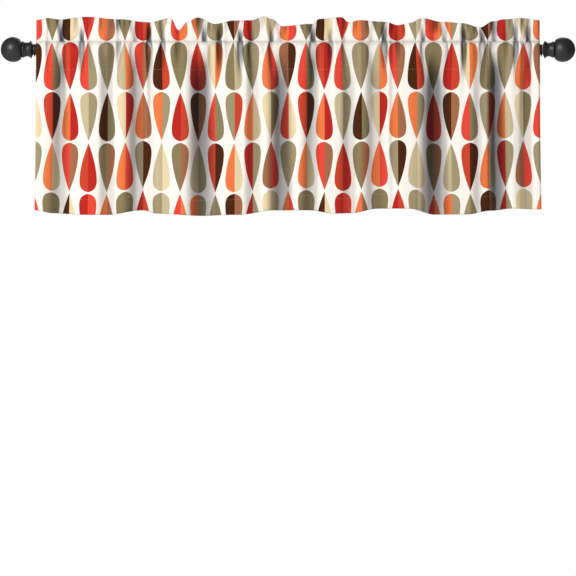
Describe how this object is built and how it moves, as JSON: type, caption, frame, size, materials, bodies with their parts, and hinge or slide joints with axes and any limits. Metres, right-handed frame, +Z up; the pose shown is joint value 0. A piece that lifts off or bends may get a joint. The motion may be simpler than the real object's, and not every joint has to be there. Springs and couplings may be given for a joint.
{
  "type": "window valance on a curtain rod",
  "caption": "Short printed rod-pocket valance gathered on a black telescoping curtain rod with ball finials, held by two adjustable wall brackets.",
  "frame": {"origin": "on the wall plane, midway between the two brackets, at the height of the rod's axis", "axes": "+X along the rod to the right as seen from the room, +Y into the wall, +Z up; the front of the cloth faces -Y"},
  "size_m": [1.3732, 0.1496, 0.4603],
  "materials": {
    "printed_cloth": "matte",
    "thread": "matte",
    "black_metal": "satin",
    "black_resin": "satin",
    "nylon": "satin",
    "zinc_steel": "satin"
  },
  "bodies": {
    "root": {"wall_plate_left": "black_metal", "wall_plate_right": "black_metal", "clamp_screw_left": "zinc_steel", "clamp_screw_right": "zinc_steel", "wall_screw_left_upper": "zinc_steel", "wall_screw_left_lower": "zinc_steel", "wall_screw_right_upper": "zinc_steel", "wall_screw_right_lower": "zinc_steel", "wall_anchor_left_upper": "nylon", "wall_anchor_left_lower": "nylon", "wall_anchor_right_upper": "nylon", "wall_anchor_right_lower": "nylon"},
    "arm_left": {"cradle_arm_left": "black_metal"},
    "arm_right": {"cradle_arm_right": "black_metal"},
    "wing_nut_left": {"wing_nut_left": "zinc_steel"},
    "wing_nut_right": {"wing_nut_right": "zinc_steel"},
    "rod": {"outer_rod_tube": "black_metal", "glide_bush": "nylon", "end_plug_left": "nylon"},
    "inner_rod": {"inner_rod_tube": "black_metal", "end_plug_right": "nylon"},
    "finial_left": {"finial_stud_left": "zinc_steel", "finial_collar_left": "black_resin", "finial_ball_left": "black_resin"},
    "finial_right": {"finial_stud_right": "zinc_steel", "finial_collar_right": "black_resin", "finial_ball_right": "black_resin"},
    "valance_pocket": {"header_frill": "printed_cloth", "header_seam_thread": "thread", "rod_pocket": "printed_cloth", "pocket_seam_thread": "thread"},
    "valance_skirt": {"valance_skirt": "printed_cloth", "bottom_hem": "printed_cloth", "hem_stitching": "thread", "side_hem_left": "printed_cloth", "side_hem_right": "printed_cloth", "side_stitching_left": "thread", "side_stitching_right": "thread"}
  },
  "joints": [
    {"name": "projection_left", "type": "slide", "parent": "root", "child": "arm_left", "axis": [0, -1, 0], "range_m": [-0.0075, 0.0095]},
    {"name": "projection_right", "type": "slide", "parent": "root", "child": "arm_right", "axis": [0, -1, 0], "range_m": [-0.0075, 0.0095]},
    {"name": "wing_nut_left_spin", "type": "hinge", "parent": "root", "child": "wing_nut_left", "pos_m": [-0.6071, -0.04, 0], "axis": [1, 0, 0], "continuous": true},
    {"name": "wing_nut_right_spin", "type": "hinge", "parent": "root", "child": "wing_nut_right", "pos_m": [0.6071, -0.04, 0], "axis": [1, 0, 0], "continuous": true},
    {"name": "rod_lift_out", "type": "slide", "parent": "arm_left", "child": "rod", "axis": [0, 0, 1], "range_m": [0, 0.06]},
    {"name": "rod_extension", "type": "slide", "parent": "rod", "child": "inner_rod", "axis": [1, 0, 0], "range_m": [0, 0.9144]},
    {"name": "finial_left_unscrew", "type": "hinge", "parent": "rod", "child": "finial_left", "pos_m": [-0.6095, -0.09, 0], "axis": [1, 0, 0], "continuous": true},
    {"name": "finial_right_unscrew", "type": "hinge", "parent": "inner_rod", "child": "finial_right", "pos_m": [0.6095, -0.09, 0], "axis": [1, 0, 0], "continuous": true},
    {"name": "valance_shift", "type": "slide", "parent": "rod", "child": "valance_pocket", "axis": [1, 0, 0], "range_m": [-0.0024, 0.0024]},
    {"name": "skirt_swing", "type": "hinge", "parent": "valance_pocket", "child": "valance_skirt", "pos_m": [0, -0.09, -0.048], "axis": [1, 0, 0], "range_deg": [-60, 10]}
  ],
  "couplings": [
    {"joint": "projection_right", "follows": "projection_left", "ratio": 1}
  ]
}
